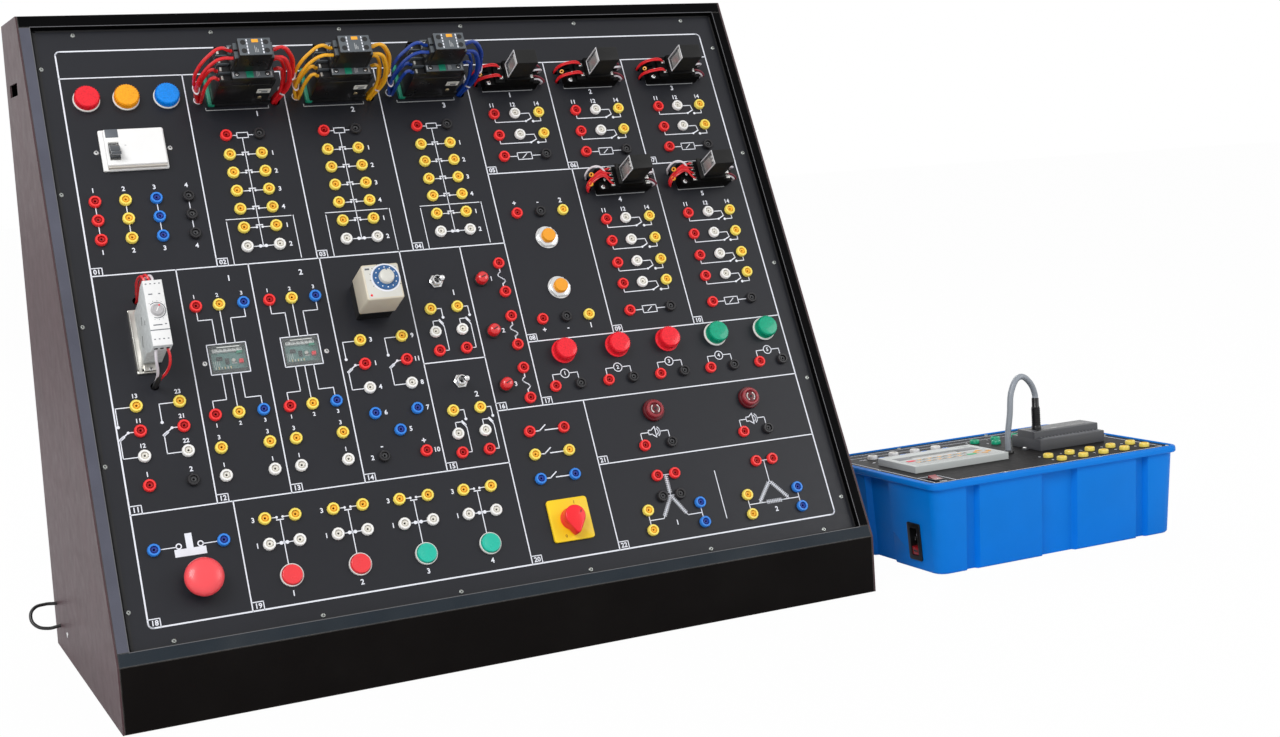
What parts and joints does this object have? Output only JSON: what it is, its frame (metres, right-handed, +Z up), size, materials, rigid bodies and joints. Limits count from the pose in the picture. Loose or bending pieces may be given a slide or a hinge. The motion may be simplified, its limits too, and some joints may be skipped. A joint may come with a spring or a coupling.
{
  "type": "sequence control trainer",
  "caption": "Sloping bench console of contactors, relays, timers, switches and lamps wired to front sockets, with a separate low controller unit.",
  "frame": {"origin": "middle of the floor area that the whole set covers, at floor level", "axes": "+Z up, the consoles' fronts face -Y, +X from the console towards the controller unit"},
  "size_m": [1.387, 0.432, 0.7268],
  "materials": {
    "case_paint": "semi-gloss black paint on sheet steel",
    "rail_paint": "fine textured black paint",
    "panel_black": "matt black panel",
    "print_white": "white screen print",
    "breaker_white": "satin white moulding",
    "moulded_black": "satin black moulding",
    "device_grey": "dark grey moulding",
    "device_green": "green moulding",
    "lead_red": "red wire insulation",
    "lead_yellow": "yellow wire insulation",
    "lead_blue": "blue wire insulation",
    "lead_white": "white wire insulation",
    "lead_black": "black cable sheath",
    "lead_grey": "grey cable sheath",
    "relay_clear": "clear moulded cover",
    "copper_coil": "enamelled coil wire",
    "timer_grey": "light grey moulding",
    "timer_cream": "cream moulding",
    "dial_blue": "blue dial",
    "lens_red": "translucent red lens",
    "lens_yellow": "translucent amber lens",
    "lens_blue": "translucent blue lens",
    "lens_green": "translucent green lens",
    "buzzer_red": "dark red moulding",
    "fuse_red": "red moulding",
    "socket_red": "red socket",
    "socket_yellow": "yellow socket",
    "socket_blue": "blue socket",
    "socket_white": "white socket",
    "socket_black": "black socket",
    "socket_green": "green socket",
    "plated_metal": "nickel plated",
    "board_green": "green circuit board",
    "button_red": "satin red moulding",
    "button_green": "satin green moulding",
    "plate_yellow": "yellow plate",
    "case_blue": "bright blue moulded tub",
    "operator_grey": "light grey moulding",
    "display_grey": "unlit liquid crystal window"
  },
  "bodies": {
    "console": {"left_side_panel": "case_paint", "right_side_panel": "case_paint", "back_cover": "case_paint", "base_plate": "case_paint", "front_apron": "case_paint", "top_cover": "case_paint", "bottom_rail": "rail_paint", "left_rail": "rail_paint", "right_rail": "rail_paint", "front_panel": "panel_black", "breaker_body": "breaker_white", "contactor_1": "device_grey", "contactor_2": "device_grey", "contactor_3": "device_grey", "aux_block_1": "device_grey", "aux_block_2": "device_grey", "aux_block_3": "device_grey", "contactor_leads_1": "lead_red", "contactor_leads_2": "lead_yellow", "contactor_leads_3": "lead_blue", "relay_socket_1": "moulded_black", "relay_socket_2": "moulded_black", "relay_socket_3": "moulded_black", "relay_socket_4": "moulded_black", "relay_socket_5": "moulded_black", "relay_1": "relay_clear", "relay_2": "relay_clear", "relay_3": "relay_clear", "relay_4": "relay_clear", "relay_5": "relay_clear", "timer_body": "timer_grey", "flicker_timer_body": "timer_cream", "phase_lamps": "lens_red", "signal_lamps": "lens_red", "buzzers": "buzzer_red", "fuse_holders": "fuse_red", "proximity_sensors": "plated_metal", "overload_relays": "board_green", "selector_plate": "plate_yellow", "side_lead_loop": "lead_black", "plc_case": "case_blue", "plc_top_panel": "panel_black", "operator_panel": "operator_grey", "plc_module": "device_grey", "programming_lead": "lead_grey", "lead_plug": "moulded_black", "power_inlet": "moulded_black"},
    "breaker_lever": {"breaker_lever": "moulded_black"},
    "timer_dial": {"timer_dial": "timer_grey"},
    "flicker_timer_dial": {"flicker_timer_dial": "dial_blue"},
    "push_button_1": {"push_button_1": "button_red"},
    "push_button_2": {"push_button_2": "button_red"},
    "push_button_3": {"push_button_3": "button_green"},
    "push_button_4": {"push_button_4": "button_green"},
    "emergency_stop_shank": {"emergency_stop_shank": "moulded_black"},
    "emergency_stop_head": {"emergency_stop_head": "button_red"},
    "selector_knob": {"selector_knob": "button_red"},
    "toggle_lever_1": {"toggle_lever_1": "plated_metal"},
    "toggle_lever_2": {"toggle_lever_2": "plated_metal"},
    "rocker_switch": {"rocker_switch": "button_red"}
  },
  "joints": [
    {"name": "breaker_throw", "type": "hinge", "parent": "console", "child": "breaker_lever", "pos_m": [-0.57998, 0.01735, 0.57283], "axis": [1, 0, 0], "range_deg": [-64, 0]},
    {"name": "timer_dial_turn", "type": "hinge", "parent": "console", "child": "timer_dial", "pos_m": [-0.57696, -0.12959, 0.40677], "axis": [0, -0.9063, 0.4226], "range_deg": [-135, 135]},
    {"name": "flicker_dial_turn", "type": "hinge", "parent": "console", "child": "flicker_timer_dial", "pos_m": [-0.3271, -0.10985, 0.41836], "axis": [0, -0.9063, 0.4226], "range_deg": [-135, 135]},
    {"name": "push_button_1_press", "type": "slide", "parent": "console", "child": "push_button_1", "axis": [0, -0.9063, 0.4226], "range_m": [-0.003, 0], "stiffness_N_per_m": 300, "springref_m": 0.002},
    {"name": "push_button_2_press", "type": "slide", "parent": "console", "child": "push_button_2", "axis": [0, -0.9063, 0.4226], "range_m": [-0.003, 0], "stiffness_N_per_m": 300, "springref_m": 0.002},
    {"name": "push_button_3_press", "type": "slide", "parent": "console", "child": "push_button_3", "axis": [0, -0.9063, 0.4226], "range_m": [-0.003, 0], "stiffness_N_per_m": 300, "springref_m": 0.002},
    {"name": "push_button_4_press", "type": "slide", "parent": "console", "child": "push_button_4", "axis": [0, -0.9063, 0.4226], "range_m": [-0.003, 0], "stiffness_N_per_m": 300, "springref_m": 0.002},
    {"name": "emergency_stop_press", "type": "slide", "parent": "console", "child": "emergency_stop_shank", "axis": [0, -0.9063, 0.4226], "range_m": [-0.004, 0]},
    {"name": "emergency_stop_twist", "type": "hinge", "parent": "emergency_stop_shank", "child": "emergency_stop_head", "pos_m": [-0.5655, -0.18836, 0.13642], "axis": [0, -0.9063, 0.4226], "range_deg": [-45, 0]},
    {"name": "selector_turn", "type": "hinge", "parent": "console", "child": "selector_knob", "pos_m": [-0.1571, -0.17882, 0.13628], "axis": [0, -0.9063, 0.4226], "range_deg": [0, 90]},
    {"name": "toggle_1_throw", "type": "hinge", "parent": "console", "child": "toggle_lever_1", "pos_m": [-0.2495, -0.05234, 0.40611], "axis": [1, 0, 0], "range_deg": [-26, 0]},
    {"name": "toggle_2_throw", "type": "hinge", "parent": "console", "child": "toggle_lever_2", "pos_m": [-0.24702, -0.10394, 0.29546], "axis": [1, 0, 0], "range_deg": [-26, 0]},
    {"name": "rocker_throw", "type": "hinge", "parent": "console", "child": "rocker_switch", "pos_m": [0.3315, -0.1798, 0.114], "axis": [1, 0, 0], "range_deg": [-20, 0]}
  ]
}
